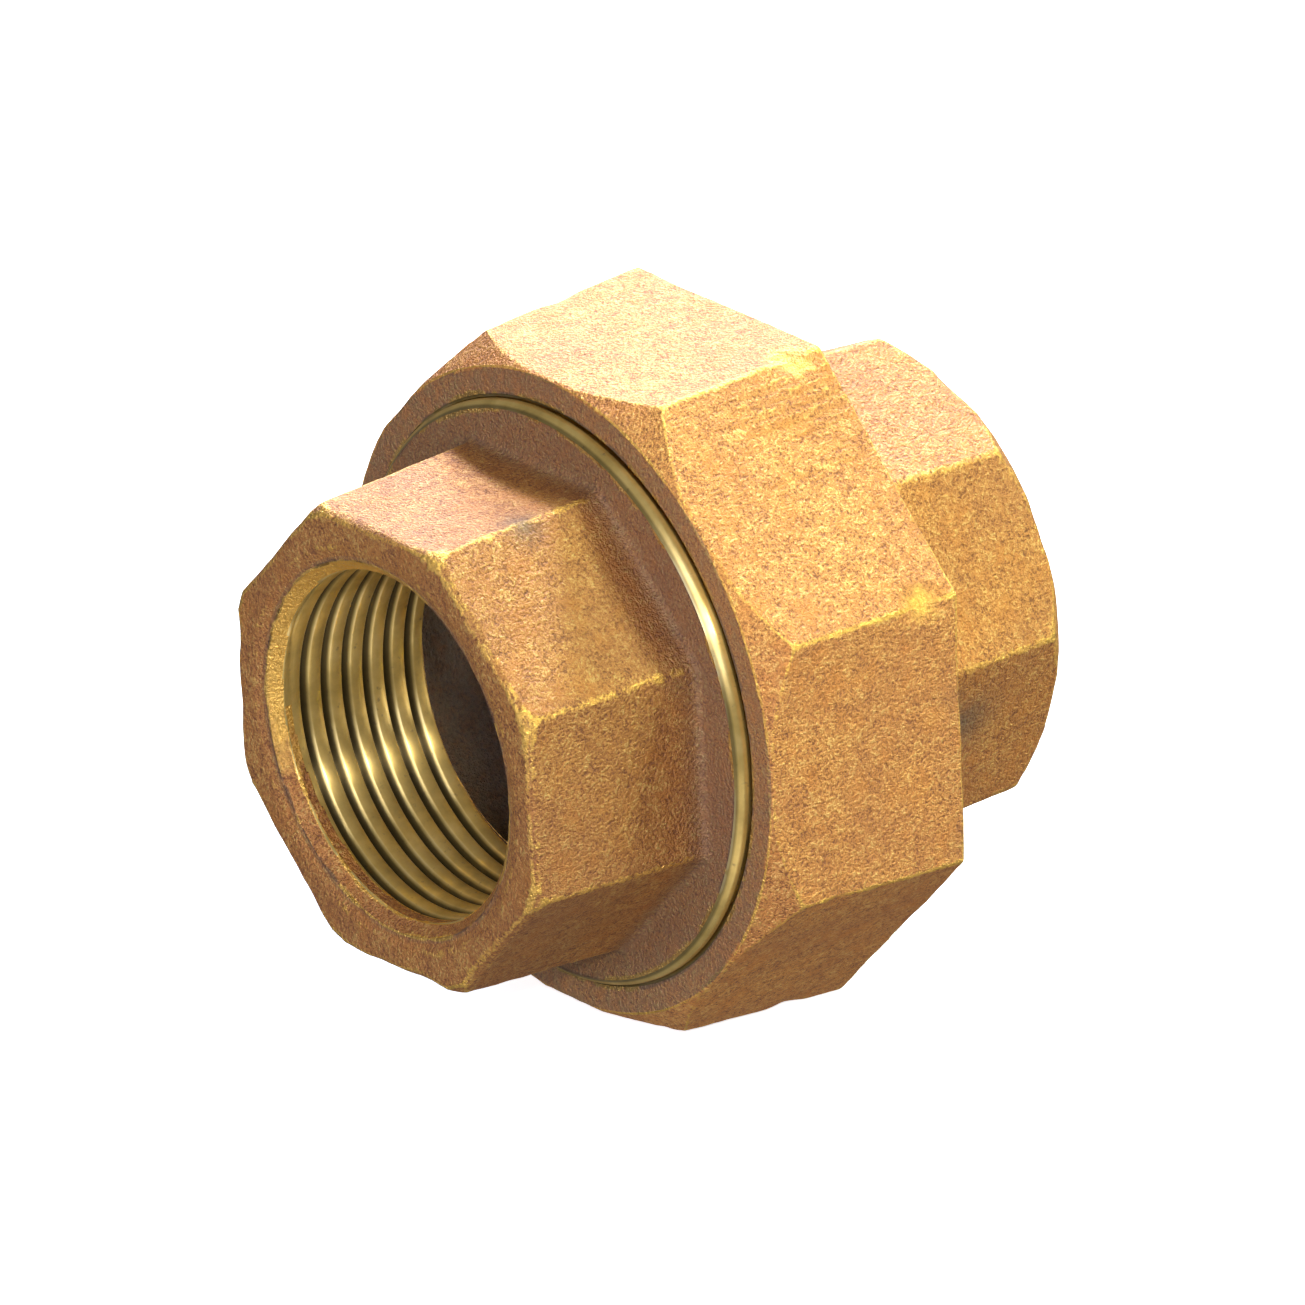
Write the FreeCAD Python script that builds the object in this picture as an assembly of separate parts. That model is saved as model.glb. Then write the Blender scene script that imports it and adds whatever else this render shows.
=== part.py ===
import FreeCAD, Part
import math
import os

# Pipe union for 3/4 inch parallel pipe threads, in millimetres.
# X runs along the pipe, from the threaded body end (-X) to the tailpiece (+X). Z is up.
# The origin is on the axis, half way between the two end faces and in the middle of the nut.

# Driving dimensions
OVERALL_LENGTH = 46.4
NUT_LENGTH = 16.0
NUT_FLATS_FRONT = 46.0
NUT_FLATS_BACK = 47.8
NUT_CORNER_CHAMFER = 2.4
BOSS_FLATS_END = 32.2
BOSS_FLATS_ROOT = 33.6
BODY_CORNER_CHAMFER = 0.9
TAIL_CORNER_CHAMFER = 1.6
BODY_BOSS_ROLL = -1.0
TAIL_BOSS_ROLL = 20.3

# Pipe thread in both ends: 3/4 inch, 14 threads per inch. The bore is a little wide for its
# standard, and the roots are narrow, so the crests are broad.
PIPE_PITCH = 25.4 / 14
PIPE_MAJOR_R = 26.441 / 2
PIPE_MINOR_R = 25.0 / 2
PIPE_ROOT_HALF_WIDTH = PIPE_PITCH / 24
PIPE_THREAD_LENGTH = 13.2
PIPE_GROOVE_TURNS = 9
MOUTH_R = 13.35

# Union thread between body end and nut: 1 1/4 inch, 11 threads per inch
UNION_PITCH = 25.4 / 11
UNION_MAJOR_R = 41.910 / 2
UNION_MINOR_R = 38.952 / 2
UNION_ROOT_HALF_WIDTH = UNION_PITCH / 12
UNION_CLEARANCE = 0.10
BODY_GROOVE_TURNS = 4
NUT_GROOVE_TURNS = 6

# Collars, seat and seal
COLLAR_R = 20.8
COLLAR_STANDS_PROUD = 1.0
COLLAR_RIM_CHAMFER = 0.5
RELIEF_R = 19.2
SEAT_X = -0.1
SEAL_THICKNESS = 1.8
SEAL_OUTER_R = 19.2
SEAL_INNER_R = 13.5
FACE_GAP = 0.05
TAIL_COLLAR_R = 19.3
TAIL_COLLAR_THICKNESS = 2.7
TAIL_NECK_R = 18.2
LIP_HOLE_R = 18.4
CHAMBER_R = 13.75
WATERWAY_R = 12.5

WHITWORTH_HALF_ANGLE = math.radians(27.5)
SIDES = 8
# How far a thread's cutter reaches past the crest, so that it leaves no skin
OVERCUT = 0.15

END_X = OVERALL_LENGTH / 2
NUT_X = NUT_LENGTH / 2
SHOULDER_X = NUT_X + COLLAR_STANDS_PROUD
RELIEF_X = (-8.1, -5.9)
SEAL_X = (SEAT_X + FACE_GAP, SEAT_X + FACE_GAP + SEAL_THICKNESS)
TAIL_FACE_X = SEAL_X[1] + FACE_GAP
TAIL_COLLAR_BACK_X = TAIL_FACE_X + TAIL_COLLAR_THICKNESS
LIP_X = TAIL_COLLAR_BACK_X + FACE_GAP
BODY_GROOVE_START_X = -7.0
PIPE_GROOVE_START_X = -END_X - 1.1


def turned(profile):
    """A solid turned about X from a closed outline of (x, radius) points."""
    points = [FreeCAD.Vector(x, 0, r) for x, r in profile]
    face = Part.Face(Part.makePolygon(points + points[:1]))
    return face.revolve(FreeCAD.Vector(0, 0, 0), FreeCAD.Vector(1, 0, 0), 360)


def coned_envelope(face_x, face_r, slope, outer_r, back_x):
    """The turned shape that cones off an octagon's corners at one end."""
    return turned([
        (face_x, 0),
        (face_x, face_r),
        (face_x + (outer_r - face_r) / slope, outer_r),
        (back_x, outer_r),
        (back_x, 0),
    ])


def octagon(x, flats, roll):
    """The corners of an octagon across X, with a flat on top when roll is zero."""
    radius = flats / 2 / math.cos(math.pi / SIDES)
    angles = [math.radians(roll) + (i + 0.5) * 2 * math.pi / SIDES for i in range(SIDES)]
    return [FreeCAD.Vector(x, -radius * math.sin(a), radius * math.cos(a)) for a in angles]


def drafted_octagon(x0, flats0, x1, flats1, roll):
    """An octagonal block of plane faces, whose flats slope evenly from one end to the other."""
    start = octagon(x0, flats0, roll)
    end = octagon(x1, flats1, roll)
    outlines = [start[::-1], end]
    for i in range(SIDES):
        outlines.append([start[i - 1], start[i], end[i], end[i - 1]])
    faces = [Part.Face(Part.makePolygon(outline + outline[:1])) for outline in outlines]
    return Part.Solid(Part.Shell(faces))


def helical_ridge(pitch, start_x, turns, base_r, tip_r, tip_half_width):
    """A right-handed ridge of thread section, from its wide base to its narrow tip.

    The flanks lean by the Whitworth half angle. The base may lie inside or outside the tip.
    """
    base_half_width = tip_half_width + abs(tip_r - base_r) * math.tan(WHITWORTH_HALF_ANGLE)
    section = [
        FreeCAD.Vector(base_r, 0, -base_half_width),
        FreeCAD.Vector(tip_r, 0, -tip_half_width),
        FreeCAD.Vector(tip_r, 0, tip_half_width),
        FreeCAD.Vector(base_r, 0, base_half_width),
    ]
    helix = Part.makeLongHelix(pitch, turns * pitch, (base_r + tip_r) / 2, 0)
    profile = Part.makePolygon(section + section[:1])
    ridge = Part.Wire(helix.Edges).makePipeShell([profile], True, True)
    ridge.rotate(FreeCAD.Vector(0, 0, 0), FreeCAD.Vector(0, 1, 0), 90)
    ridge.translate(FreeCAD.Vector(start_x, 0, 0))
    return ridge


def pipe_thread_groove():
    """The groove of the pipe thread, cut outwards from the bore of a boss that opens to -X."""
    return helical_ridge(
        PIPE_PITCH,
        PIPE_GROOVE_START_X,
        PIPE_GROOVE_TURNS,
        PIPE_MINOR_R - OVERCUT,
        PIPE_MAJOR_R,
        PIPE_ROOT_HALF_WIDTH,
    )


def pipe_bore(inner_x):
    """The hollow of a boss that opens to -X: mouth, tapping bore, cast chamber, waterway."""
    thread_end = -END_X + PIPE_THREAD_LENGTH
    mouth_depth = MOUTH_R - PIPE_MINOR_R
    chamber_end = inner_x - 3.0
    profile = [
        (-END_X - 1, 0),
        (-END_X - 1, MOUTH_R + 1),
        (-END_X + mouth_depth, PIPE_MINOR_R),
        (thread_end, PIPE_MINOR_R),
        (thread_end + 0.4, CHAMBER_R),
        (chamber_end - (CHAMBER_R - WATERWAY_R), CHAMBER_R),
        (chamber_end, WATERWAY_R),
        (inner_x + 1, WATERWAY_R),
        (inner_x + 1, 0),
    ]
    return turned(profile)


def boss(root_x, corner_chamfer, face_r, roll):
    """An octagonal wrench boss that opens to -X, with its end corners coned off."""
    corner_r = BOSS_FLATS_ROOT / 2 / math.cos(math.pi / SIDES) + 1
    slope = (BOSS_FLATS_END / 2 / math.cos(math.pi / SIDES) - face_r) / corner_chamfer
    envelope = coned_envelope(-END_X, face_r, slope, corner_r, root_x + 1)
    block = drafted_octagon(-END_X, BOSS_FLATS_END, root_x, BOSS_FLATS_ROOT, roll)
    return block.common(envelope)


def make_body_end():
    """The fixed end: boss, collar standing out of the nut, relief, union thread and seat."""
    rim = COLLAR_RIM_CHAMFER
    collar = turned([
        (-SHOULDER_X, 0),
        (-SHOULDER_X, COLLAR_R - rim),
        (-SHOULDER_X + rim, COLLAR_R),
        (RELIEF_X[0], COLLAR_R),
        (RELIEF_X[0], RELIEF_R),
        (RELIEF_X[1], RELIEF_R),
        (RELIEF_X[1], UNION_MAJOR_R),
        (SEAT_X - 1.2, UNION_MAJOR_R),
        (SEAT_X, UNION_MAJOR_R - 1.6),
        (SEAT_X, 0),
    ])
    groove = helical_ridge(
        UNION_PITCH,
        BODY_GROOVE_START_X,
        BODY_GROOVE_TURNS,
        UNION_MAJOR_R + OVERCUT,
        UNION_MINOR_R,
        UNION_ROOT_HALF_WIDTH,
    )
    octagon_boss = boss(-SHOULDER_X + 0.5, BODY_CORNER_CHAMFER, 16.8, BODY_BOSS_ROLL)
    solid = octagon_boss.fuse(collar.cut(groove)).removeSplitter()
    return solid.cut(pipe_bore(SEAT_X)).cut(pipe_thread_groove())


def make_union_nut():
    """The octagonal nut: mouth chamfer, union thread, pocket for the collar, and back lip."""
    minor_r = UNION_MINOR_R + UNION_CLEARANCE
    major_r = UNION_MAJOR_R + UNION_CLEARANCE
    mouth_r = 21.05
    pocket_r = 21.3
    pocket_x = 1.2
    face_r = NUT_FLATS_FRONT / 2
    front_corner_r = NUT_FLATS_FRONT / 2 / math.cos(math.pi / SIDES)
    outer_r = NUT_FLATS_BACK / 2 / math.cos(math.pi / SIDES) + 1
    slope = (front_corner_r - face_r) / NUT_CORNER_CHAMFER
    envelope = coned_envelope(-NUT_X, face_r, slope, outer_r, NUT_X)
    block = drafted_octagon(-NUT_X, NUT_FLATS_FRONT, NUT_X, NUT_FLATS_BACK, 0)
    # A spline cone bounds the flats with spline curves, which other tools measure more reliably.
    coned = block.common(envelope.toNurbs())
    hollow = turned([
        (-NUT_X - 1, 0),
        (-NUT_X - 1, mouth_r + 1),
        (-NUT_X + mouth_r - minor_r, minor_r),
        (pocket_x, minor_r),
        (pocket_x + 1, pocket_r),
        (LIP_X, pocket_r),
        (LIP_X, LIP_HOLE_R),
        (NUT_X - 0.4, LIP_HOLE_R),
        (NUT_X + 0.6, LIP_HOLE_R + 1),
        (NUT_X + 0.6, 0),
    ])
    flank_clearance = UNION_CLEARANCE * (1 - math.tan(WHITWORTH_HALF_ANGLE))
    groove = helical_ridge(
        UNION_PITCH,
        BODY_GROOVE_START_X - 1.5 * UNION_PITCH,
        NUT_GROOVE_TURNS,
        minor_r - OVERCUT,
        major_r,
        UNION_ROOT_HALF_WIDTH + flank_clearance,
    )
    return coned.cut(hollow).cut(groove)


def make_tailpiece():
    """The swivelling end: boss, round neck through the nut's lip, and collar behind the seal."""
    collar_edge = 0.3
    collar = turned([
        (TAIL_FACE_X, 0),
        (TAIL_FACE_X, TAIL_COLLAR_R - collar_edge),
        (TAIL_FACE_X + collar_edge, TAIL_COLLAR_R),
        (TAIL_COLLAR_BACK_X, TAIL_COLLAR_R),
        (TAIL_COLLAR_BACK_X, TAIL_NECK_R),
        (NUT_X + 0.6, TAIL_NECK_R),
        (NUT_X + 0.6, 0),
    ])
    octagon_boss = boss(-NUT_X, TAIL_CORNER_CHAMFER, BOSS_FLATS_END / 2 - 0.1, -TAIL_BOSS_ROLL)
    turn_round = (FreeCAD.Vector(0, 0, 0), FreeCAD.Vector(0, 0, 1), 180)
    octagon_boss.rotate(*turn_round)
    hollow = pipe_bore(-TAIL_FACE_X)
    hollow.rotate(*turn_round)
    groove = pipe_thread_groove()
    groove.rotate(*turn_round)
    passes_lip = Part.makeCylinder(
        TAIL_NECK_R + 0.1, OVERALL_LENGTH, FreeCAD.Vector(0, 0, 0), FreeCAD.Vector(1, 0, 0))
    solid = octagon_boss.common(passes_lip).fuse(collar).removeSplitter()
    return solid.cut(hollow).cut(groove)


def make_sealing_ring():
    """The flat ring squeezed between the seat and the tailpiece's collar."""
    return turned([
        (SEAL_X[0], SEAL_INNER_R),
        (SEAL_X[0], SEAL_OUTER_R),
        (SEAL_X[1], SEAL_OUTER_R),
        (SEAL_X[1], SEAL_INNER_R),
    ])


NODES = {
    "body_end": make_body_end,
    "union_nut": make_union_nut,
    "tailpiece": make_tailpiece,
    "sealing_ring": make_sealing_ring,
}

os.makedirs("parts", exist_ok=True)
for name, make in NODES.items():
    solid = make()
    solid.exportStep(f"parts/{name}.step")
    box = solid.BoundBox
    print(f"{name}: valid {solid.isValid()}, solids {len(solid.Solids)}, {solid.Volume / 1000:.2f} cm3,"
          f" x {box.XMin:.2f} to {box.XMax:.2f}, y {box.YLength:.2f}, z {box.ZLength:.2f}")
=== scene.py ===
import math

import bmesh
import bpy
import numpy as np
from mathutils import Matrix, Vector


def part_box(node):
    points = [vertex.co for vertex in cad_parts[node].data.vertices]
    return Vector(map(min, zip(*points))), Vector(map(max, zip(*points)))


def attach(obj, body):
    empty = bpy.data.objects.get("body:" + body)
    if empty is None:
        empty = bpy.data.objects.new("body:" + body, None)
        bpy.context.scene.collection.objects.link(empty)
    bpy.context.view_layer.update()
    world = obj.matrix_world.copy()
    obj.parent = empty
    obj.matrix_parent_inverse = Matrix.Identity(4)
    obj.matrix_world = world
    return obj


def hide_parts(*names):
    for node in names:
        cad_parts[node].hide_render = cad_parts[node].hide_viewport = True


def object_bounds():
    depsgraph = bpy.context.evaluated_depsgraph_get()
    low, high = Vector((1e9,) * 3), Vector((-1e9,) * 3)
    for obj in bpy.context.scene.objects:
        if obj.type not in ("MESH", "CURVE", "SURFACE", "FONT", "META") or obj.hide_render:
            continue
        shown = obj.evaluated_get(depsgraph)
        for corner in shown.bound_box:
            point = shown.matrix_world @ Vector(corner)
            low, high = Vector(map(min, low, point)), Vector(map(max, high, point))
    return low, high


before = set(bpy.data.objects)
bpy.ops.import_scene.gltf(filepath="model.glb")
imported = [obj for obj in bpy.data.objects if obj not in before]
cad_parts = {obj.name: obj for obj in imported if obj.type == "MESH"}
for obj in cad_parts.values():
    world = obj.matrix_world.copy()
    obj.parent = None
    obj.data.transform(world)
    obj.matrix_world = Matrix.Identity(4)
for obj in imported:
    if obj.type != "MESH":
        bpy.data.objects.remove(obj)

# Shapes are worked out in millimetres and made into meshes in metres.
MM = 0.001
TURN = 2 * math.pi
SIDES = 8
FLANK_SLOPE = math.tan(math.radians(27.5))
CREST_CROWN = 0.10
CAST, MACHINED, CHAMBER = 0, 1, 2

cad_low, cad_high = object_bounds()
body_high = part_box("body_end")[1] / MM
nut_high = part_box("union_nut")[1] / MM
tail_low, tail_high = (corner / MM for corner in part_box("tailpiece"))

# Columns of each piece's grid, as many on each of its eight sides
BODY_COLUMNS = 42 * SIDES
TAIL_COLUMNS = 50 * SIDES
NUT_COLUMNS = 65 * SIDES

# Octagonal bosses and nut
END_X = tail_high.x
NUT_X = nut_high.x
NUT_FLATS_FRONT = 46.0
NUT_FLATS_BACK = 2 * nut_high.z
NUT_CORNER_CHAMFER = 2.4
BOSS_FLATS_END = 32.2
BOSS_FLATS_ROOT = 33.6
BODY_BOSS_ROLL = math.radians(-1.0)
TAIL_BOSS_ROLL = math.radians(20.3)
FIRST_CORNER = TURN / SIDES / 2

# Pipe thread, 14 threads per inch
PIPE_PITCH = 25.4 / 14
PIPE_MAJOR_R = 26.441 / 2
PIPE_MINOR_R = 12.5
PIPE_THREAD_LENGTH = 13.2
PIPE_ROOT_HALF = PIPE_PITCH / 24
PIPE_GROOVE_START = -END_X - 1.1
MOUTH_R = 13.35
MOUTH_SINK = 0.28
CHAMBER_R = 13.75
WATERWAY_R = 12.5

# Union thread, 11 threads per inch
UNION_PITCH = 25.4 / 11
UNION_MAJOR_R = body_high.z
UNION_MINOR_R = 38.952 / 2
UNION_CLEARANCE = 0.10
UNION_GROOVE_START = -7.0

# Collar, seat and lip
COLLAR_R = 20.8
SHOULDER_X = -NUT_X - 1.0
RELIEF_X = (-8.1, -5.9)
RELIEF_R = 19.2
SEAT_X = body_high.x
TAIL_FACE_X = tail_low.x
TAIL_COLLAR_BACK_X = TAIL_FACE_X + 2.7
TAIL_COLLAR_R = 19.3
TAIL_NECK_R = 18.2
LIP_X = TAIL_COLLAR_BACK_X + 0.05
LIP_HOLE_R = 18.4
MOUTH_EDGE_R = 21.05
POCKET_R = 21.3
POCKET_X = 1.2

# Knocks on the nut's edges: angle in degrees, place along X, depth, and size along and across
KNOCKS = (
    (22.5, 5.4, 0.5, 1.4, 1.0),
    (67.5, 5.2, 0.5, 1.5, 0.9),
    (-22.5, 1.0, 0.15, 1.2, 0.8),
    (112.5, -2.5, 0.18, 0.9, 0.8),
    (157.5, 3.0, 0.2, 1.1, 0.8),
)
RIDGED_FLAT = math.radians(45)
RIDGE_SPACING = 0.95
RIDGE_HEIGHT = 0.055


def waves(points, wavelength, seed, count=28):
    """A smooth random field from -1 to 1: a sum of sine waves in random directions.

    Each wave is sin(2 pi (direction . point) / length + phase), with lengths near the one given.
    """
    rng = np.random.default_rng(seed)
    directions = rng.normal(size=(count, 3))
    directions /= np.linalg.norm(directions, axis=1)[:, None]
    lengths = wavelength * rng.uniform(0.7, 1.5, count)
    phases = rng.uniform(0, TURN, count)
    total = np.zeros(points.shape[:-1])
    for direction, length, phase in zip(directions, lengths, phases):
        total += np.sin(TURN * (points @ direction) / length + phase)
    return total / math.sqrt(count / 2) / 2.2


def around(columns, corner):
    """Angles about X, gathered at the octagon's corners: t less a sine of eight times t."""
    gather = 0.5
    even = np.linspace(0, TURN, columns + 1)
    return even - gather / SIDES * np.sin(SIDES * (even - corner))


def octagon(angles, corner, flats, rounding):
    """Distance from the axis to an octagon with rounded corners.

    Along a flat it is half the flats over the cosine of the angle from the flat's middle. Near a
    corner it is the circle of the rounding's radius that touches both flats.
    """
    half = TURN / SIDES / 2
    off_corner = np.abs(np.mod(angles - corner + half, 2 * half) - half)
    centre = (flats / 2 - rounding) / math.cos(half)
    reach = np.arctan2(rounding * math.sin(half), centre + rounding * math.cos(half))
    inside = np.maximum(rounding**2 - (centre * np.sin(off_corner))**2, 0)
    arc = centre * np.cos(off_corner) + np.sqrt(inside)
    return np.where(off_corner < reach, arc, flats / 2 / np.cos(half - off_corner))


def outline(stations, angles, finish):
    """Rows along a chain of straight runs whose corners are rounded by quadratic curves.

    A station is (x, r, rounding, rows): the run that leads to it has that many rows, and the curve
    starts and ends that far from the corner, or just under half of the shorter run.
    """
    wide = np.ones_like(angles)
    points = [np.stack([x * wide, r * wide]) for x, r, _, _ in stations]
    rows = [points[0]]
    leave = points[0]
    for i in range(1, len(points)):
        rounding, steps = stations[i][2], stations[i][3]
        before = points[i] - points[i - 1]
        length = np.maximum(np.hypot(*before), 1e-9)
        arrive = points[i]
        if i + 1 < len(points) and np.max(rounding) > 0:
            after = points[i + 1] - points[i]
            next_length = np.maximum(np.hypot(*after), 1e-9)
            reach = np.minimum(rounding, 0.48 * np.minimum(length, next_length))
            arrive = points[i] - before / length * reach
            depart = points[i] + after / next_length * reach
        for step in range(1, steps + 1):
            rows.append(leave + (arrive - leave) * step / steps)
        leave = arrive
        if i + 1 < len(points) and np.max(rounding) > 0:
            curve_rows = 5
            for step in range(1, curve_rows + 1):
                t = step / curve_rows
                rows.append((1 - t)**2 * arrive + 2 * t * (1 - t) * points[i] + t**2 * depart)
            leave = depart
    rows = np.stack(rows)
    return rows[:, 0], rows[:, 1], np.full(rows[:, 0].shape, float(finish))


def thread(angles, pitch, start, span, root_r, crest_r, root_half, limit, fade=None):
    """Rows that run along a right-handed thread between two planes across X.

    A groove's middle is at start + pitch (angle + half a turn) / turn. Across the groove the radius
    is flat at the root, climbs the flank's slope, and crowns at the crest as a parabola. Rows stand
    close beside each corner, so that it stays crisp. The limit is the cone that the thread runs out
    into, and fade, from 0 to 1, lets the groove die away.
    """
    outward = 1 if crest_r > root_r else -1
    height = abs(crest_r - root_r)
    opening = root_half + height * FLANK_SLOPE
    beside = 0.05
    side = [0.5 * root_half, root_half + beside, (root_half + opening) / 2, opening - beside]
    crest = np.linspace(opening, pitch - opening, 7)
    steps = np.concatenate([-np.array(side[::-1]), side, crest])
    lead = start + pitch * (angles + math.pi) / TURN
    first = math.floor((span[0] - start) / pitch) - 2
    last = math.ceil((span[1] - start) / pitch) + 1
    offsets = (np.arange(first, last)[:, None] * pitch + steps[None, :]).reshape(-1, 1)
    x = np.clip(offsets + lead[None, :], span[0], span[1])
    across = np.abs(np.mod(x - lead[None, :] + pitch / 2, pitch) - pitch / 2)
    from_crest = np.clip((pitch / 2 - across) / (pitch / 2 - opening), 0, 1)
    crown = CREST_CROWN * height * from_crest**2
    climb = np.minimum(np.clip((across - root_half) / FLANK_SLOPE, 0, None), height - crown)
    r = root_r + outward * climb
    if fade is not None:
        r = crest_r + (r - crest_r) * fade(x, angles[None, :])
    r = np.minimum(r, limit(x)) if outward > 0 else np.maximum(r, limit(x))
    return x, r, np.full(x.shape, float(MACHINED))


def reversed_rows(band):
    """The same rows from last to first."""
    return tuple(part[::-1] for part in band)


def ring_surface(bands, angles):
    """Stacks the bands of an outline that closes on itself and turns it about X.

    A point is (x, -r sin(angle), r cos(angle)), with the angle from +Z towards -Y.
    """
    x, r, finish = (np.concatenate(parts) for parts in zip(*bands))
    points = np.stack([x, -r * np.sin(angles), r * np.cos(angles)], axis=-1)
    return points, finish


def grid_normals(points):
    """Unit normals of a grid of points: the cross product of its two directions of travel."""
    along = np.gradient(points, axis=0)
    about = np.gradient(points, axis=1)
    normals = np.cross(about, along)
    length = np.linalg.norm(normals, axis=-1, keepdims=True)
    return normals / np.maximum(length, 1e-12)


def roughened(points, finish, seed):
    """Moves the cast rows along their normals: a slow swell, and a grain of about a millimetre."""
    swell = 0.03 * waves(points, 9.0, seed) + 0.02 * waves(points, 3.5, seed + 1)
    grain = 0.022 * waves(points, 1.3, seed + 2, 40)
    cast = (finish != MACHINED)[..., None]
    return points + cast * (swell + grain)[..., None] * grid_normals(points)


def curvature(mesh):
    """How sharply the surface curves at each vertex, in turns of a radian to the millimetre.

    Along an edge it is twice the rise of the vertex over its neighbour, along the vertex's normal,
    over the edge's length squared. Edges count by their length, so crowded ones count little.
    """
    count = len(mesh.vertices)
    place = np.empty(count * 3)
    mesh.vertices.foreach_get("co", place)
    place = place.reshape(-1, 3) / MM
    normal = np.empty(count * 3)
    mesh.vertices.foreach_get("normal", normal)
    normal = normal.reshape(-1, 3)
    ends = np.empty(len(mesh.edges) * 2, dtype=np.int32)
    mesh.edges.foreach_get("vertices", ends)
    ends = ends.reshape(-1, 2)
    a = np.concatenate([ends[:, 0], ends[:, 1]])
    b = np.concatenate([ends[:, 1], ends[:, 0]])
    span = place[a] - place[b]
    length = np.maximum(np.linalg.norm(span, axis=1), 0.02)
    rise = np.einsum("ij,ij->i", span, normal[a]) / length
    total = np.maximum(np.bincount(a, weights=length, minlength=count), 1e-9)
    value = 2 * np.bincount(a, weights=rise, minlength=count) / total
    for _ in range(2):
        near = np.bincount(a, weights=value[b] * length, minlength=count) / total
        value = 0.5 * value + 0.5 * near
    return value


def stained_and_shaded(place, stains, rings):
    """How dark each point is made, from 0 to 1: painted shade, real stains and darker rings.

    The roots of the pipe thread and the cast chambers get painted shade, and the waterway less of it.
    Each of the stains is a soft ball, (x, y, z, radius), whose strength is the bell curve of the
    distance. A ring, (x, length, inner radius, outer radius, strength), is a bell curve along X.
    """
    r = np.hypot(place[:, 1], place[:, 2])
    depth = END_X - np.abs(place[:, 0])
    inside = (r < CHAMBER_R + 0.3) & (depth > MOUTH_SINK + MOUTH_R - PIPE_MINOR_R)
    root = np.clip((r - PIPE_MINOR_R - 0.1) / 0.3, 0, 1)
    behind = np.where(r > WATERWAY_R + 0.3, 1.0, 0.4)
    # Painted shade inside the bore: full in the thread roots and chambers, less in the waterway.
    dirt_and_shade = np.where(inside, np.where(depth > PIPE_THREAD_LENGTH, behind, root), 0)
    for x, y, z, radius in stains:
        away = np.sum((place - np.array([x, y, z]))**2, axis=1) / radius**2
        dirt_and_shade = np.maximum(dirt_and_shade, np.exp(-away))
    for x, length, inner, outer, strength in rings:
        ring = strength * np.exp(-((place[:, 0] - x) / length)**2)
        dirt_and_shade = np.maximum(dirt_and_shade, np.where((r > inner) & (r < outer), ring, 0))
    return dirt_and_shade


def rubs_and_sheen(place, rubs):
    """How worn each point is, from 0 to 1: soft balls like the stains, and the mouths' cones, whose
    shine is partly machined metal and partly a painted highlight.

    A cone is brightest at one angle, where the painted highlight sits, and its shine falls off as the
    cosine from there.
    """
    r = np.hypot(place[:, 1], place[:, 2])
    depth = END_X - np.abs(place[:, 0])
    # Painted highlight, mixed with machined metal: the mouths' cones shine most at one fixed angle.
    cone = (r < MOUTH_R + 0.1) & (depth > 0.5 * MOUTH_SINK) & (depth < MOUTH_SINK + 1.6)
    brightest = math.radians(-50)
    facing = np.cos(np.arctan2(-place[:, 1], place[:, 2]) - brightest)
    shine = np.where(cone, np.clip(1.3 * facing - 0.15, 0, 0.85), 0)
    for x, y, z, radius in rubs:
        away = np.sum((place - np.array([x, y, z]))**2, axis=1) / radius**2
        shine = np.maximum(shine, np.exp(-away))
    return shine


def make_piece(name, points, finish, materials, stains, rings, rubs=(), half_turn=False):
    """A closed mesh from a grid whose first and last rows, and first and last columns, meet.

    Faces join each point to the next row and column, and what meets is welded.
    """
    if half_turn:
        points = points * np.array([-1.0, -1.0, 1.0])
    rows, columns = finish.shape
    index = np.arange(rows * columns).reshape(rows, columns)
    index = np.concatenate([index, index[:1]])
    quads = np.stack([index[:-1, :-1], index[1:, :-1], index[1:, 1:], index[:-1, 1:]], axis=-1)
    mesh = bpy.data.meshes.new(name)
    mesh.vertices.add(rows * columns)
    mesh.vertices.foreach_set("co", (points * MM).ravel())
    count = quads.shape[0] * quads.shape[1]
    mesh.loops.add(count * 4)
    mesh.loops.foreach_set("vertex_index", quads.ravel())
    mesh.polygons.add(count)
    mesh.polygons.foreach_set("loop_start", np.arange(count) * 4)
    mesh.polygons.foreach_set("material_index", finish[:, :-1].ravel().astype(np.int32))
    mesh.update(calc_edges=True)
    weld = bmesh.new()
    weld.from_mesh(mesh)
    bmesh.ops.remove_doubles(weld, verts=weld.verts, dist=0.002 * MM)
    bmesh.ops.dissolve_degenerate(weld, edges=weld.edges, dist=0.0005 * MM)
    bmesh.ops.recalc_face_normals(weld, faces=weld.faces)
    weld.to_mesh(mesh)
    weld.free()
    for material in materials:
        mesh.materials.append(material)
    mesh.shade_smooth()
    mesh.set_sharp_from_angle(angle=math.radians(40))
    total = len(mesh.vertices)
    place = np.empty(total * 3)
    mesh.vertices.foreach_get("co", place)
    place = place.reshape(-1, 3) / MM
    edge = mesh.attributes.new("edge", "FLOAT", "POINT")
    edge.data.foreach_set("value", curvature(mesh))
    # This value holds real stains, darker rings, and painted shade in the thread roots and the bore.
    stain_and_shade = mesh.attributes.new("stain_and_shade", "FLOAT", "POINT")
    stain_and_shade.data.foreach_set("value", stained_and_shaded(place, stains, rings))
    # This value holds real wear at the knocks and a painted highlight on the mouths' cones.
    rub_and_sheen = mesh.attributes.new("rub_and_sheen", "FLOAT", "POINT")
    rub_and_sheen.data.foreach_set("value", rubs_and_sheen(place, rubs))
    piece = bpy.data.objects.new(name, mesh)
    bpy.context.scene.collection.objects.link(piece)
    return piece


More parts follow.
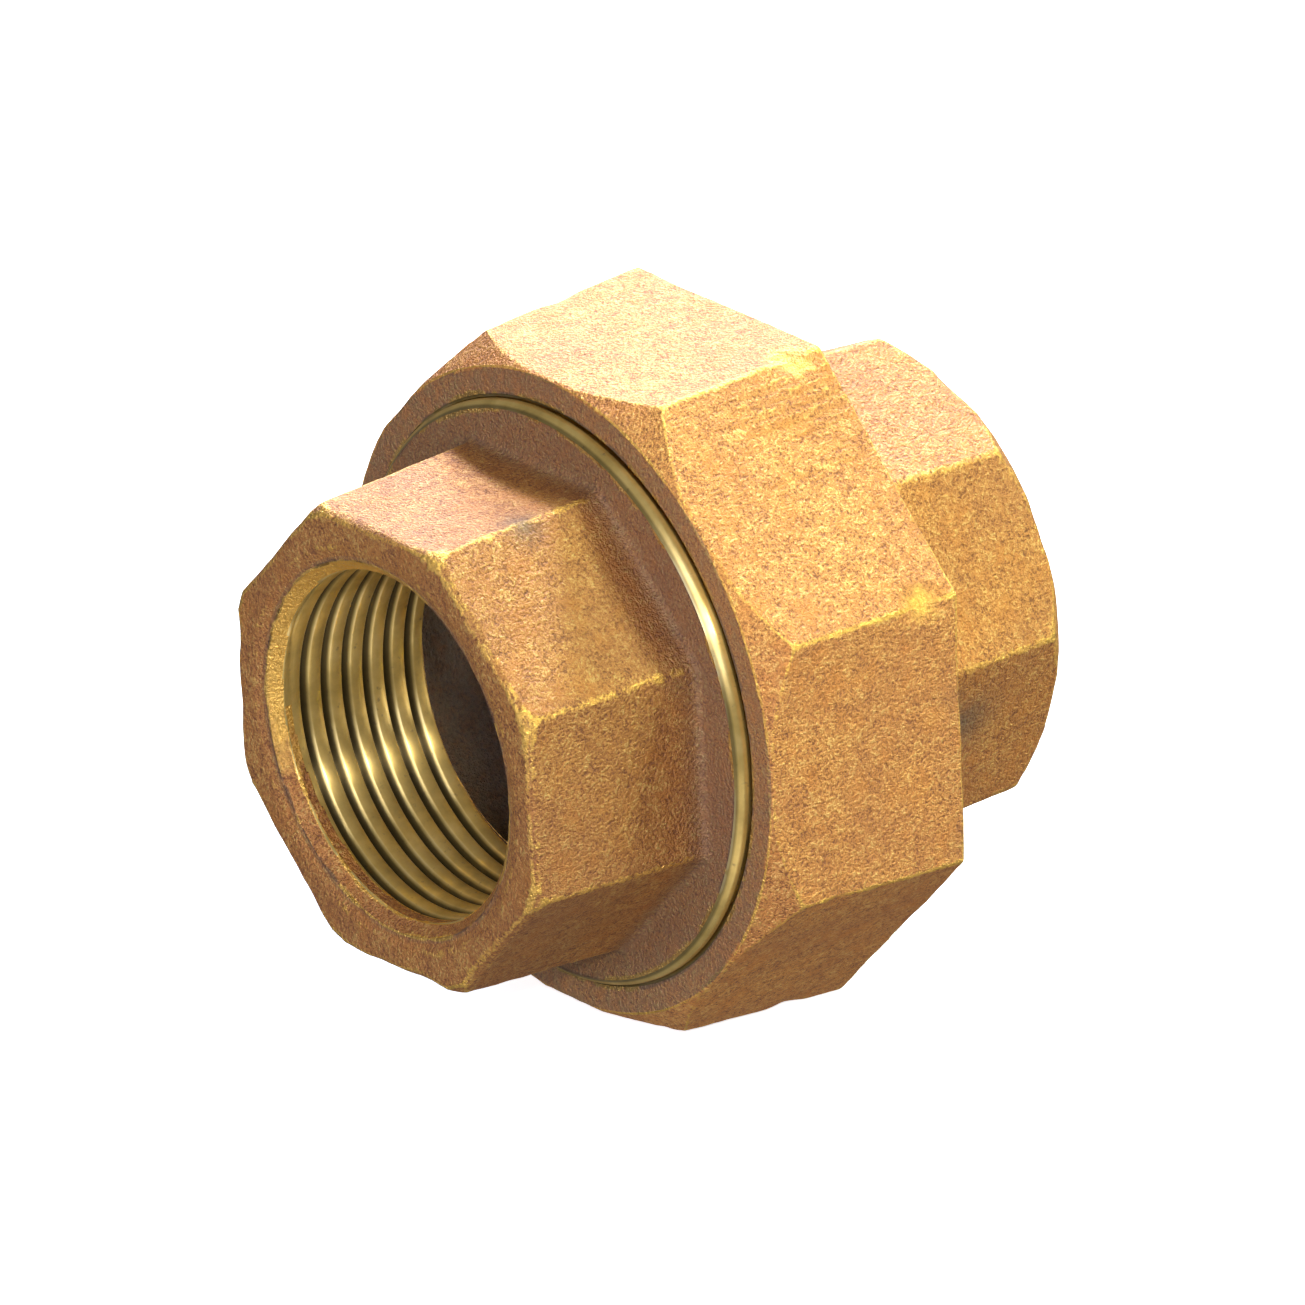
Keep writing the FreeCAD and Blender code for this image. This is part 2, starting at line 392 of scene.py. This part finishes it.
def boss_bands(angles, corner, root_x, face_r, corner_chamfer, root_rounding, seed):
    """The cast outside of a boss that opens to -X, from its mouth to the foot of its sides.

    The flats slope evenly from the end to the root. The end's corners are coned off, and every
    edge is rounded by an amount that wanders along it.
    """
    here = np.stack([np.zeros_like(angles), np.sin(angles), np.cos(angles)], axis=-1) * 16
    wander = 1 + 0.45 * waves(here, 5.0, seed)
    end_r = octagon(angles, corner, BOSS_FLATS_END, 0.7)
    root_r = octagon(angles, corner, BOSS_FLATS_ROOT, 0.9)
    bevel = 0.3 * wander
    rim_r = np.minimum(end_r - bevel, face_r)
    corner_r = BOSS_FLATS_END / 2 / math.cos(FIRST_CORNER)
    slope = (corner_r - face_r) / corner_chamfer
    depth = np.maximum((end_r - rim_r) / slope, bevel)
    share = depth / (root_x + END_X)
    side_r = end_r + (root_r - end_r) * share
    return [
        (-END_X + MOUTH_SINK, MOUTH_R, 0, 1),
        (-END_X + MOUTH_SINK - 0.05, MOUTH_R + 0.4, 0.15, 2),
        (-END_X, MOUTH_R + 1.0, 0.3, 2),
        (-END_X, rim_r, 0.35 * wander, 7),
        (-END_X + depth, side_r, 0.4 * wander, 2),
        (root_x, root_r, root_rounding, 40),
    ]


def pipe_thread(angles):
    """The pipe thread from its inner end out to the cone at the mouth.

    The groove fades in behind a band of bare bore, which is widest at the bottom. The cone, and the
    bare band where it is widest, are as rough as the casting.
    """
    mouth_x = -END_X + MOUTH_SINK
    cone_end = mouth_x + MOUTH_R - PIPE_MINOR_R
    widest = math.radians(195)
    run_in = 0.35

    def fade(x, angle):
        bare = 0.15 + 0.7 * (0.5 + 0.5 * np.cos(angle - widest))**2
        return np.clip((x - cone_end - bare) / run_in, 0, 1)

    def cone(x):
        return MOUTH_R - (x - mouth_x)

    span = (mouth_x, -END_X + PIPE_THREAD_LENGTH)
    band = thread(angles, PIPE_PITCH, PIPE_GROOVE_START, span, PIPE_MAJOR_R, PIPE_MINOR_R,
                  PIPE_ROOT_HALF, cone, fade)
    x, r, finish = reversed_rows(band)
    bare = (fade(x, angles[None, :]) < 0.5) & (x > cone_end + 0.12)
    rough = bare & (np.cos(angles[None, :] - widest) > 0.35)
    rough |= x < cone_end + 0.02
    return x, r, np.where(rough, float(CAST), finish)


def inner_bands(angles, inner_x):
    """The waterway and the cast chamber, from the inner face out to the pipe thread."""
    thread_end = -END_X + PIPE_THREAD_LENGTH
    chamber_end = inner_x - 3.0
    waterway = outline([
        (inner_x, WATERWAY_R, 0, 1),
        (chamber_end, WATERWAY_R, 0, 3),
    ], angles, MACHINED)
    chamber = outline([
        (chamber_end, WATERWAY_R, 0, 1),
        (chamber_end - (CHAMBER_R - WATERWAY_R), CHAMBER_R, 0.5, 3),
        (thread_end + 0.5, CHAMBER_R, 0.4, 12),
        (thread_end, PIPE_MINOR_R, 0, 3),
    ], angles, CHAMBER)
    return [waterway, chamber]


def make_body_end(materials):
    """The threaded end: boss, collar that stands out of the nut, union thread and seat."""
    corner = BODY_BOSS_ROLL + FIRST_CORNER
    angles = around(BODY_COLUMNS, corner)
    boss = boss_bands(angles, corner, SHOULDER_X, 16.8, 0.9, 0.7, 11)
    rim = 0.5
    cast = outline(boss + [(SHOULDER_X, COLLAR_R - rim, 0, 9)], angles, CAST)
    collar = outline([
        (SHOULDER_X, COLLAR_R - rim, 0, 1),
        (SHOULDER_X + rim, COLLAR_R, 0.15, 3),
        (RELIEF_X[0], COLLAR_R, 0.05, 2),
        (RELIEF_X[0], RELIEF_R, 0, 2),
        (RELIEF_X[1], RELIEF_R, 0, 3),
    ], angles, MACHINED)

    def end_cone(x):
        return UNION_MAJOR_R - 1.6 * (x - SEAT_X + 1.2) / 1.2

    male = thread(angles, UNION_PITCH, UNION_GROOVE_START, (RELIEF_X[1], SEAT_X), UNION_MINOR_R,
                  UNION_MAJOR_R, UNION_PITCH / 12, end_cone)
    seat = outline([
        (SEAT_X, UNION_MAJOR_R - 1.6, 0, 1),
        (SEAT_X, WATERWAY_R, 0, 5),
    ], angles, MACHINED)
    bands = [cast, collar, male, seat] + inner_bands(angles, SEAT_X) + [pipe_thread(angles)]
    points, finish = ring_surface(bands, angles)
    points = roughened(points, finish, 21)
    stains = [(-15.6, -6.3, 16.1, 1.3), (-10.2, -15.5, 6.4, 1.2), (-9.6, -15.9, 5.6, 1.0)]
    rings = [
        (SHOULDER_X, 1.4, BOSS_FLATS_ROOT / 2 - 1, COLLAR_R - 0.3, 0.68),
        (-END_X + MOUTH_SINK, 0.12, MOUTH_R - 0.02, MOUTH_R + 0.35, 0.4),
    ]
    piece = make_piece("body_end_bronze", points, finish, materials, stains, rings)
    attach(piece, "body_end")
    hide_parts("body_end")
    return piece


def make_tailpiece(materials):
    """The swivelling end, shaped as if it opened to -X and then turned half round about Z."""
    corner = -TAIL_BOSS_ROLL + FIRST_CORNER
    angles = around(TAIL_COLUMNS, corner)
    neck_x = -NUT_X - 0.6
    boss = boss_bands(angles, corner, neck_x, BOSS_FLATS_END / 2 - 0.1, 1.6, 0, 31)
    root_x, root_r, _, rows = boss[-1]
    boss[-1] = (root_x, np.minimum(root_r, TAIL_NECK_R), 0, rows)
    cast = outline(boss, angles, CAST)
    collar = outline([
        (neck_x, TAIL_NECK_R, 0, 1),
        (-TAIL_COLLAR_BACK_X, TAIL_NECK_R, 0, 6),
        (-TAIL_COLLAR_BACK_X, TAIL_COLLAR_R, 0.1, 2),
        (-TAIL_FACE_X, TAIL_COLLAR_R, 0.3, 4),
        (-TAIL_FACE_X, WATERWAY_R, 0, 6),
    ], angles, MACHINED)
    bands = [cast, collar] + inner_bands(angles, -TAIL_FACE_X) + [pipe_thread(angles)]
    points, finish = ring_surface(bands, angles)
    points = roughened(points, finish, 41)
    stains = [(14.5, -16.3, -4.0, 2.2), (12.5, -16.5, -1.5, 1.2)]
    rings = [(END_X - MOUTH_SINK, 0.12, MOUTH_R - 0.02, MOUTH_R + 0.35, 0.4)]
    piece = make_piece("tailpiece_bronze", points, finish, materials, stains, rings, half_turn=True)
    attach(piece, "tailpiece")
    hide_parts("tailpiece")
    return piece


def knocked(points):
    """Flattens the nut's edges where they were struck, and raises faint ridges along one flat.

    A knock is a bell-shaped dip of the radius. The ridges are a sine across the flat, whose phase
    sways a little, inside a soft-edged patch near the flat's upper back corner.
    """
    x, y, z = np.moveaxis(points, -1, 0)
    r = np.hypot(y, z)
    angle = np.arctan2(-y, z)
    dip = np.zeros_like(r)
    for degrees, along, depth, length, width in KNOCKS:
        about = (np.mod(angle - math.radians(degrees) + math.pi, TURN) - math.pi) * r
        dip += depth * np.exp(-((x - along) / length)**2 - (about / width)**2)
    outside = r > NUT_FLATS_FRONT / 2 - 1
    across = (angle - RIDGED_FLAT) * r
    patch = np.exp(-((across + 4.4) / 4.5)**4) * np.clip((x + 5) / 6, 0, 1)
    sway = 0.6 * np.sin(across * 1.7)
    ridges = RIDGE_HEIGHT * np.sin(TURN * across / RIDGE_SPACING + sway) * patch
    scale = 1 - np.where(outside, (dip + ridges) / np.maximum(r, 1), 0)
    return np.stack([x, y * scale, z * scale], axis=-1)


def make_union_nut(materials):
    """The nut: coned front corners, drafted sides, open threaded mouth, pocket and back lip."""
    corner = FIRST_CORNER
    angles = around(NUT_COLUMNS, corner)
    here = np.stack([np.zeros_like(angles), np.sin(angles), np.cos(angles)], axis=-1) * 24
    wander = 1 + 0.4 * waves(here, 6.0, 51)
    minor_r = UNION_MINOR_R + UNION_CLEARANCE
    major_r = UNION_MAJOR_R + UNION_CLEARANCE
    front_r = octagon(angles, corner, NUT_FLATS_FRONT, 0.45)
    back_r = octagon(angles, corner, NUT_FLATS_BACK, 0.4)
    face_r = NUT_FLATS_FRONT / 2
    corner_r = face_r / math.cos(FIRST_CORNER)
    bevel = 0.2 * wander
    rim_r = np.minimum(front_r - bevel, face_r)
    slope = (corner_r - face_r) / NUT_CORNER_CHAMFER
    depth = np.maximum((front_r - rim_r) / slope, bevel)
    side_r = front_r + (back_r - front_r) * depth / (2 * NUT_X)
    back_bevel = 0.16 * wander
    cast = outline([
        (-NUT_X, MOUTH_EDGE_R, 0, 1),
        (-NUT_X, rim_r, 0.12 * wander, 9),
        (-NUT_X + depth, side_r, 0.15 * wander, 6),
        (NUT_X - back_bevel, back_r, 0.12, 46),
        (NUT_X, back_r - back_bevel, 0.12, 2),
        (NUT_X, LIP_HOLE_R + 0.4, 0, 14),
    ], angles, CAST)
    lip = outline([
        (NUT_X, LIP_HOLE_R + 0.4, 0, 1),
        (NUT_X - 0.4, LIP_HOLE_R, 0.1, 2),
        (LIP_X, LIP_HOLE_R, 0, 3),
        (LIP_X, POCKET_R, 0.1, 3),
        (POCKET_X + 1, POCKET_R, 0.2, 3),
        (POCKET_X, minor_r, 0, 3),
    ], angles, MACHINED)

    def mouth_cone(x):
        return MOUTH_EDGE_R - (x + NUT_X)

    def pocket_cone(x):
        return np.maximum(mouth_cone(x), minor_r)

    root_half = UNION_PITCH / 12 + UNION_CLEARANCE * (1 - FLANK_SLOPE)
    start = UNION_GROOVE_START - 1.5 * UNION_PITCH
    female = thread(angles, UNION_PITCH, start, (-NUT_X, POCKET_X), major_r, minor_r, root_half,
                    pocket_cone)
    points, finish = ring_surface([cast, lip, reversed_rows(female)], angles)
    points = knocked(roughened(points, finish, 61))
    stains = [(7.6, -21.5, -4.0, 1.6), (7.7, -22.5, 2.0, 1.2), (7.7, -22.5, -8.0, 1.2)]
    rings = [(-NUT_X, 0.6, UNION_MAJOR_R, NUT_FLATS_FRONT / 2 - 0.1, 0.8)]
    rubs = [(5.6, -9.3, 22.4, 1.9), (5.4, -22.4, 9.3, 1.7), (1.0, 9.3, 22.4, 1.0)]
    piece = make_piece("union_nut_bronze", points, finish, materials, stains, rings, rubs)
    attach(piece, "union_nut")
    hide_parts("union_nut")
    return piece


class Shader:
    """A material's node tree, with short calls to add nodes and join them."""

    def __init__(self, name):
        self.material = bpy.data.materials.new(name)
        self.material.use_nodes = True
        self.nodes = self.material.node_tree.nodes
        self.links = self.material.node_tree.links
        self.surface = self.nodes["Principled BSDF"]

    def put(self, socket, value):
        """Joins a socket to another, or sets its value."""
        if isinstance(value, bpy.types.NodeSocket):
            self.links.new(value, socket)
        else:
            socket.default_value = value

    def add(self, kind, inputs, **settings):
        """A new node with its settings and inputs."""
        node = self.nodes.new(kind)
        for key, value in settings.items():
            setattr(node, key, value)
        for key, value in inputs.items():
            self.put(node.inputs[key], value)
        return node

    def place(self):
        """The surface's own coordinates, in metres."""
        return self.add("ShaderNodeTexCoord", {}).outputs["Object"]

    def noise(self, vector, per_mm, detail=3.0, roughness=0.55, distortion=0.0):
        """Noise with that many features to the millimetre, from 0 to 1."""
        inputs = {"Vector": vector, "Scale": per_mm / MM, "Detail": detail,
                  "Roughness": roughness, "Distortion": distortion}
        return self.add("ShaderNodeTexNoise", inputs).outputs["Fac"]

    def attribute(self, name):
        """A value kept on the mesh."""
        return self.add("ShaderNodeAttribute", {}, attribute_name=name).outputs["Fac"]

    def remap(self, value, low, high, to_low=0.0, to_high=1.0):
        """The value stretched from one range to another, and kept inside it."""
        inputs = {"Value": value, "From Min": low, "From Max": high,
                  "To Min": to_low, "To Max": to_high}
        return self.add("ShaderNodeMapRange", inputs).outputs["Result"]

    def math(self, operation, a, b):
        """A sum, product or the like of two values."""
        return self.add("ShaderNodeMath", {0: a, 1: b}, operation=operation).outputs[0]

    def blend(self, amount, a, b, mode="MIX"):
        """Colour a turned into colour b by the amount."""
        node = self.add("ShaderNodeMix", {0: amount, 6: a, 7: b}, data_type="RGBA", blend_type=mode)
        return node.outputs[2]

    def ramp(self, value, stops):
        """Colours along a value."""
        node = self.add("ShaderNodeValToRGB", {"Fac": value})
        elements = node.color_ramp.elements
        while len(elements) < len(stops):
            elements.new(0.5)
        for element, (position, colour) in zip(elements, stops):
            element.position = position
            element.color = (*colour, 1.0)
        return node.outputs["Color"]

    def bump(self, height, depth_mm, strength=1.0, normal=None):
        """A surface raised by the height times that many millimetres."""
        inputs = {"Height": height, "Distance": depth_mm * MM, "Strength": strength}
        if normal is not None:
            inputs["Normal"] = normal
        return self.add("ShaderNodeBump", inputs).outputs["Normal"]


def cast_bronze(name, seed, shade):
    """Sand-cast bronze: golden sand grain with dark specks, brown patches and bright worn edges, with
    painted shade in creases and in the bore and a painted highlight on the mouths' cones.

    The seed shifts the pattern along the pipe, and the shade scales the skin's colour darker, which
    is painted shade.
    """
    s = Shader(name)
    shift = s.add("ShaderNodeMapping", {"Vector": s.place(), "Location": (seed * MM, 0, 0)})
    place = shift.outputs["Vector"]
    grain = s.noise(place, 3.9, 2.0, 0.6)
    fine = s.noise(place, 8.0, 2.0, 0.6)
    mottle = s.noise(place, 1.1, 3.0, 0.55)
    patches = s.noise(place, 0.13, 2.0)
    flushes = s.noise(place, 0.42, 3.0, 0.6)
    edge = s.attribute("edge")
    stain_and_shade = s.attribute("stain_and_shade")
    tone = s.math("ADD", s.math("MULTIPLY", grain, 0.5), s.math("MULTIPLY", fine, 0.5))
    tone = s.math("ADD", tone, s.math("MULTIPLY", s.math("SUBTRACT", mottle, 0.5), 0.3))
    colour = s.ramp(tone, [
        (0.37, (0.30 * shade, 0.110 * shade, 0.035 * shade)),
        (0.45, (0.62 * shade, 0.250 * shade, 0.060 * shade)),
        (0.54, (0.80 * shade, 0.345 * shade, 0.078 * shade)),
        (0.64, (1.00 * shade, 0.620 * shade, 0.180 * shade)),
    ])
    brown = (0.50 * shade, 0.190 * shade, 0.060 * shade, 1.0)
    colour = s.blend(s.remap(patches, 0.38, 0.7, 0.0, 0.45), colour, brown)
    orange = (0.78 * shade, 0.290 * shade, 0.050 * shade, 1.0)
    colour = s.blend(s.remap(flushes, 0.5, 0.72, 0.0, 0.5), colour, orange)
    worn = s.math("ADD", edge, s.math("MULTIPLY", s.math("SUBTRACT", mottle, 0.5), 0.5))
    worn = s.math("ADD", worn, s.math("MULTIPLY", s.math("SUBTRACT", grain, 0.5), 0.9))
    # Real wear on edges and knocks, plus a painted highlight on the mouths' cones.
    rub_and_sheen = s.math("ADD", s.attribute("rub_and_sheen"), s.math("MULTIPLY", s.math("SUBTRACT", mottle, 0.5), 0.7))
    rubbed_and_sheen = s.math("MAXIMUM", s.remap(worn, 0.22, 0.62), s.remap(rub_and_sheen, 0.35, 0.75))
    colour = s.blend(rubbed_and_sheen, colour, (1.0, 0.58, 0.12, 1.0))
    # Painted shade: concave creases are darkened.
    crease_shade = s.remap(edge, -1.2, -0.5, 0.6, 0.0)
    colour = s.blend(crease_shade, colour, (0.10, 0.055, 0.03, 1.0))
    # Painted shade in the bore, with real stains and darker rings, darkens the colour here.
    dirt_and_shade_amount = s.math("MULTIPLY", stain_and_shade, s.remap(mottle, 0.3, 0.6, 0.6, 1.0))
    colour = s.blend(s.math("MULTIPLY", dirt_and_shade_amount, 0.75), colour, (0.125, 0.105, 0.075, 1.0))
    s.put(s.surface.inputs["Base Color"], colour)
    rough = s.remap(tone, 0.35, 0.65, 0.62, 0.46)
    rough = s.math("SUBTRACT", rough, s.math("MULTIPLY", rubbed_and_sheen, 0.16))
    s.put(s.surface.inputs["Roughness"], rough)
    s.put(s.surface.inputs["Metallic"], s.remap(rubbed_and_sheen, 0.0, 1.0, 0.55, 0.9))
    s.surface.inputs["Specular IOR Level"].default_value = 0.8
    normal = s.bump(grain, 0.25, 1.0)
    normal = s.bump(fine, 0.10, 1.0, normal)
    s.put(s.surface.inputs["Normal"], normal)
    return s.material


def machined_bronze():
    """Turned bronze: golden and bright, with turning marks round the axis and painted shade in its
    roots.
    """
    s = Shader("machined_bronze")
    place = s.place()
    rings = s.add("ShaderNodeMapping", {"Vector": place, "Scale": (9.0, 0.35, 0.35)})
    marks = s.noise(rings.outputs["Vector"], 1.0, 2.0, 0.5)
    tarnish = s.noise(place, 0.3, 4.0, 0.6)
    specks = s.noise(place, 1.6, 3.0, 0.6)
    edge = s.attribute("edge")
    colour = s.ramp(tarnish, [
        (0.30, (0.56, 0.38, 0.10)),
        (0.50, (0.78, 0.54, 0.15)),
        (0.72, (0.97, 0.70, 0.23)),
    ])
    colour = s.blend(s.remap(specks, 0.64, 0.76, 0.0, 0.6), colour, (0.24, 0.15, 0.07, 1.0))
    colour = s.blend(s.remap(edge, 0.6, 1.6, 0.0, 0.6), colour, (1.0, 0.78, 0.36, 1.0))
    # Painted shade: the thread roots and the waterway are darkened nearly to black.
    colour = s.blend(s.math("MULTIPLY", s.attribute("stain_and_shade"), 0.9), colour, (0.03, 0.024, 0.013, 1.0))
    s.put(s.surface.inputs["Base Color"], colour)
    s.surface.inputs["Metallic"].default_value = 0.7
    s.put(s.surface.inputs["Roughness"], s.remap(tarnish, 0.3, 0.7, 0.36, 0.28))
    tangent = s.add("ShaderNodeTangent", {}, direction_type="RADIAL", axis="X")
    s.put(s.surface.inputs["Tangent"], tangent.outputs["Tangent"])
    s.surface.inputs["Anisotropic"].default_value = 0.92
    s.surface.inputs["Anisotropic Rotation"].default_value = 0.25
    normal = s.bump(marks, 0.012, 0.5)
    normal = s.bump(specks, 0.02, 0.25, normal)
    s.put(s.surface.inputs["Normal"], normal)
    return s.material


def pressed_fibre():
    """Pressed sealing fibre: a dark red-brown board with short fibres in it."""
    s = Shader("pressed_fibre")
    place = s.place()
    fibres = s.add("ShaderNodeMapping", {"Vector": place, "Scale": (1.0, 3.0, 0.6)})
    strands = s.noise(fibres.outputs["Vector"], 2.0, 5.0, 0.7, 1.5)
    colour = s.ramp(strands, [
        (0.35, (0.05, 0.018, 0.012)),
        (0.55, (0.16, 0.055, 0.03)),
        (0.72, (0.30, 0.14, 0.08)),
    ])
    s.put(s.surface.inputs["Base Color"], colour)
    s.surface.inputs["Roughness"].default_value = 0.85
    s.put(s.surface.inputs["Normal"], s.bump(strands, 0.08, 0.6))
    return s.material


def make_floor():
    """A wide pale sheet under the lowest edge of the nut."""
    floor_z = cad_low.z
    reach = 4.0
    mesh = bpy.data.meshes.new("floor")
    corners = [(-reach, -reach, floor_z), (reach, -reach, floor_z),
               (reach, reach, floor_z), (-reach, reach, floor_z)]
    mesh.from_pydata(corners, [], [(0, 1, 2, 3)])
    floor = bpy.data.objects.new("floor", mesh)
    bpy.context.scene.collection.objects.link(floor)
    s = Shader("pale_floor")
    s.surface.inputs["Base Color"].default_value = (0.92, 0.92, 0.92, 1.0)
    s.surface.inputs["Roughness"].default_value = 0.9
    s.surface.inputs["Emission Color"].default_value = (1.0, 1.0, 1.0, 1.0)
    s.surface.inputs["Emission Strength"].default_value = 0.8
    mesh.materials.append(s.material)
    floor.visible_diffuse = False
    floor.visible_glossy = False
    floor.visible_shadow = False


def add_light(name, direction, distance, size, strength, colour):
    """A square soft light that faces the object, and lights it with that many watts to the metre."""
    data = bpy.data.lights.new(name, "AREA")
    data.shape = "SQUARE"
    data.size = size
    data.energy = strength * math.pi * distance**2
    data.color = colour
    light = bpy.data.objects.new(name, data)
    towards = Vector(direction).normalized()
    light.location = towards * distance
    light.rotation_euler = towards.to_track_quat("Z", "Y").to_euler()
    bpy.context.scene.collection.objects.link(light)


def light_the_scene():
    """Two lamps behind, two at the right, one in front, a cool fill, and a bounce from the floor."""
    add_light("overhead_lamp", (0.52, 0.49, 0.70), 0.9, 0.10, 2.9, (0.91, 0.96, 1.35))
    add_light("rear_lamp", (0.567, 0.726, 0.39), 1.0, 0.30, 1.7, (0.90, 0.97, 1.25))
    add_light("key_lamp", (0.53, -0.42, 0.735), 0.8, 0.16, 3.35, (0.85, 1.06, 0.80))
    add_light("low_lamp", (0.80, -0.58, -0.12), 0.8, 0.30, 0.85, (0.97, 1.0, 1.05))
    add_light("front_lamp", (-0.50, -0.72, 0.47), 1.0, 0.08, 1.5, (1.0, 0.98, 0.94))
    add_light("fill_lamp", (-0.93, -0.25, 0.27), 1.0, 0.6, 1.9, (0.90, 0.98, 1.36))
    add_light("bounce_lamp", (-0.45, -0.55, -0.70), 1.0, 0.8, 0.7, (0.97, 0.98, 1.1))
    world = bpy.data.worlds.new("dim_surround")
    world.use_nodes = True
    background = world.node_tree.nodes["Background"]
    background.inputs["Color"].default_value = (0.93, 0.96, 1.0, 1.0)
    background.inputs["Strength"].default_value = 0.14
    bpy.context.scene.world = world
    bpy.context.scene.view_settings.view_transform = "Standard"


def add_camera():
    """A long lens that looks down a little and along the pipe from the body end's side."""
    azimuth, elevation, roll = (math.radians(a) for a in (-37.98, 22.93, -2.14))
    distance = 1554.0
    sensor, lens = 36.0, 627.7
    back = Vector((math.sin(azimuth) * math.cos(elevation),
                   -math.cos(azimuth) * math.cos(elevation), math.sin(elevation)))
    level = Vector((math.cos(azimuth), math.sin(azimuth), 0))
    upright = back.cross(level)
    right = math.cos(roll) * level + math.sin(roll) * upright
    up = back.cross(right)
    aim_right, aim_up = 6.42, 2.61
    aim = Vector((-NUT_X, 0, 0)) + aim_right * right + aim_up * up
    data = bpy.data.cameras.new("camera")
    data.sensor_width = sensor
    data.lens = lens
    data.clip_end = 20
    camera = bpy.data.objects.new("camera", data)
    turn = Matrix((right, up, back)).transposed().to_4x4()
    camera.matrix_world = Matrix.Translation((aim + back * distance) * MM) @ turn
    bpy.context.scene.collection.objects.link(camera)
    bpy.context.scene.camera = camera


turned = machined_bronze()
# Lit and shaded copies of one cast bronze: the chamber's much darker copy paints the shade inside the
# bore, and the body end's and tailpiece's copies are darker than the nut's as painted shade.
chamber = cast_bronze("cast_chamber", seed=120, shade=0.34)
make_body_end([cast_bronze("cast_bronze_body", seed=0, shade=0.72), turned, chamber])
make_union_nut([cast_bronze("cast_bronze_nut", seed=40, shade=1.0), turned, chamber])
make_tailpiece([cast_bronze("cast_bronze_tail", seed=80, shade=0.90), turned, chamber])
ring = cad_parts["sealing_ring"]
for ring_slot in ring.material_slots:
    ring_slot.link = "OBJECT"
    ring_slot.material = pressed_fibre()
make_floor()
light_the_scene()
add_camera()
